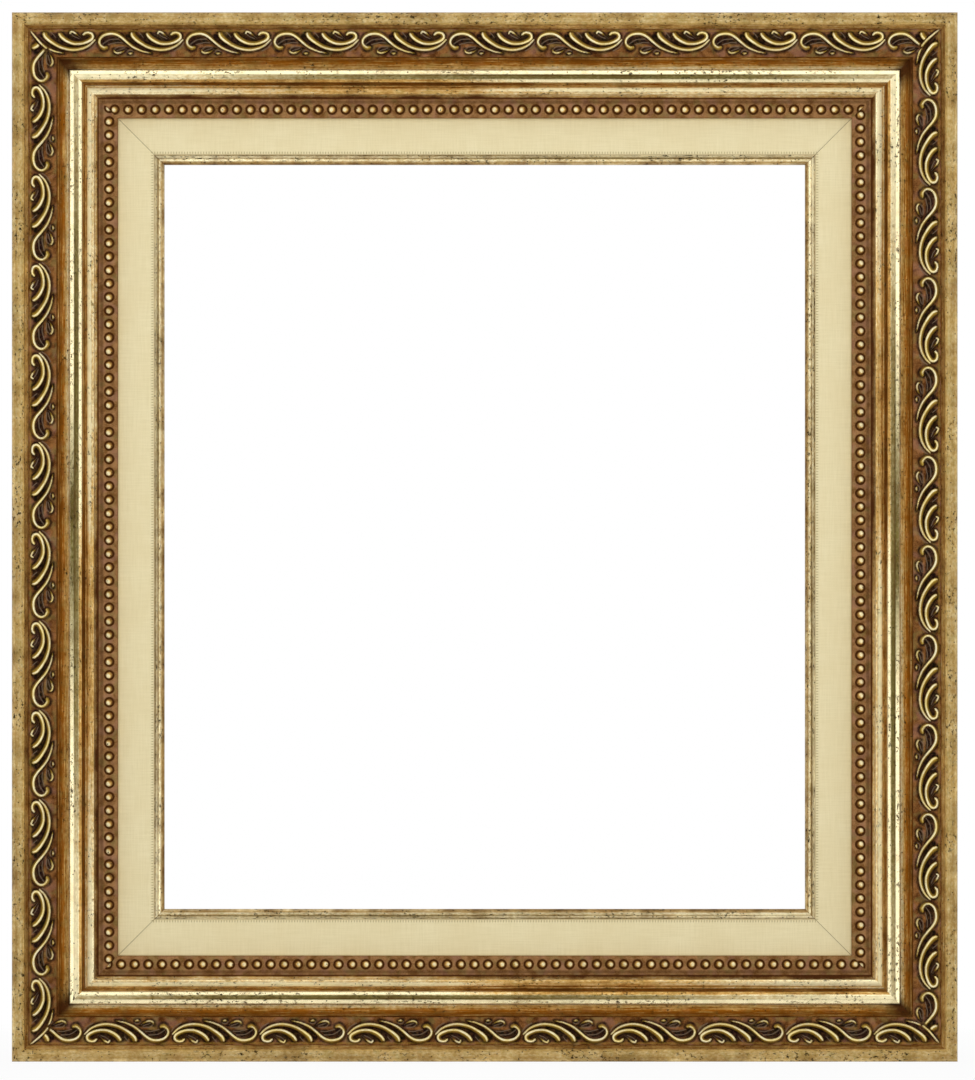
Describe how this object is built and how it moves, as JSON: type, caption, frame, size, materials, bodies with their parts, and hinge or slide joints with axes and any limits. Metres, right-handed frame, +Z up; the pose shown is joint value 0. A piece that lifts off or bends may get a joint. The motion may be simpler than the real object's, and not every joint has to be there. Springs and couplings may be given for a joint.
{
  "type": "picture frame",
  "caption": "Rectangular gilded picture frame with a scroll and pearl moulding, a linen-covered slip with a gilt sight edge, turn buttons and swinging hanger rings.",
  "frame": {"origin": "middle of the bottom of the frame's box, on the surface that the frame stands on", "axes": "+Z up the picture, +X to the right as seen from the front, and the front faces -Y"},
  "size_m": [0.5016, 0.0426, 0.5566],
  "materials": {
    "gilt_moulding": "worn gold leaf over gesso with a brown patina, raw wood at the back",
    "scroll_ornament": "pressed composition, brown ground with burnished gold ribs",
    "pearl_ornament": "pressed composition, brown ground with burnished gold pearls",
    "slip_wood": "planed raw wood",
    "gilt_sight_edge": "worn gold leaf over gesso",
    "linen": "glued natural linen with a fine plain weave",
    "bright_steel": "bright stamped steel",
    "zinc_hardware": "zinc-plated steel",
    "brass_hardware": "stamped brass",
    "felt_rubber": "matt soft rubber"
  },
  "bodies": {
    "frame": {"bottom_rail": "gilt_moulding", "left_rail": "gilt_moulding", "top_rail": "gilt_moulding", "right_rail": "gilt_moulding", "bottom_scroll_strip": "scroll_ornament", "left_scroll_strip": "scroll_ornament", "top_scroll_strip": "scroll_ornament", "right_scroll_strip": "scroll_ornament", "bottom_pearl_strip": "pearl_ornament", "left_pearl_strip": "pearl_ornament", "top_pearl_strip": "pearl_ornament", "right_pearl_strip": "pearl_ornament", "bottom_slip": "slip_wood", "left_slip": "slip_wood", "top_slip": "slip_wood", "right_slip": "slip_wood", "bottom_linen": "linen", "left_linen": "linen", "top_linen": "linen", "right_linen": "linen", "bottom_sight_edge": "gilt_sight_edge", "left_sight_edge": "gilt_sight_edge", "top_sight_edge": "gilt_sight_edge", "right_sight_edge": "gilt_sight_edge", "frame_v_nails": "bright_steel", "slip_v_nails": "bright_steel", "framers_points": "bright_steel", "left_hanger_strap": "zinc_hardware", "right_hanger_strap": "zinc_hardware", "hanger_screws": "zinc_hardware", "turn_button_screws": "brass_hardware", "wall_bumpers": "felt_rubber"},
    "left_ring": {"left_hanger_ring": "zinc_hardware"},
    "right_ring": {"right_hanger_ring": "zinc_hardware"},
    "bottom_button": {"bottom_turn_button": "brass_hardware"},
    "left_button": {"left_turn_button": "brass_hardware"},
    "top_button": {"top_turn_button": "brass_hardware"},
    "right_button": {"right_turn_button": "brass_hardware"}
  },
  "joints": [
    {"name": "left_ring_swing", "type": "hinge", "parent": "frame", "child": "left_ring", "pos_m": [-0.2257, 0.01895, 0.4083], "axis": [1, 0, 0], "range_deg": [0, 180]},
    {"name": "right_ring_swing", "type": "hinge", "parent": "frame", "child": "right_ring", "pos_m": [0.2257, 0.01895, 0.4083], "axis": [1, 0, 0], "range_deg": [0, 180]},
    {"name": "bottom_button_turn", "type": "hinge", "parent": "frame", "child": "bottom_button", "pos_m": [0, 0.01395, 0.066], "axis": [0, 1, 0], "continuous": true},
    {"name": "left_button_turn", "type": "hinge", "parent": "frame", "child": "left_button", "pos_m": [-0.1848, 0.01395, 0.2783], "axis": [0, 1, 0], "continuous": true},
    {"name": "top_button_turn", "type": "hinge", "parent": "frame", "child": "top_button", "pos_m": [0, 0.01395, 0.4906], "axis": [0, 1, 0], "continuous": true},
    {"name": "right_button_turn", "type": "hinge", "parent": "frame", "child": "right_button", "pos_m": [0.1848, 0.01395, 0.2783], "axis": [0, 1, 0], "continuous": true}
  ]
}
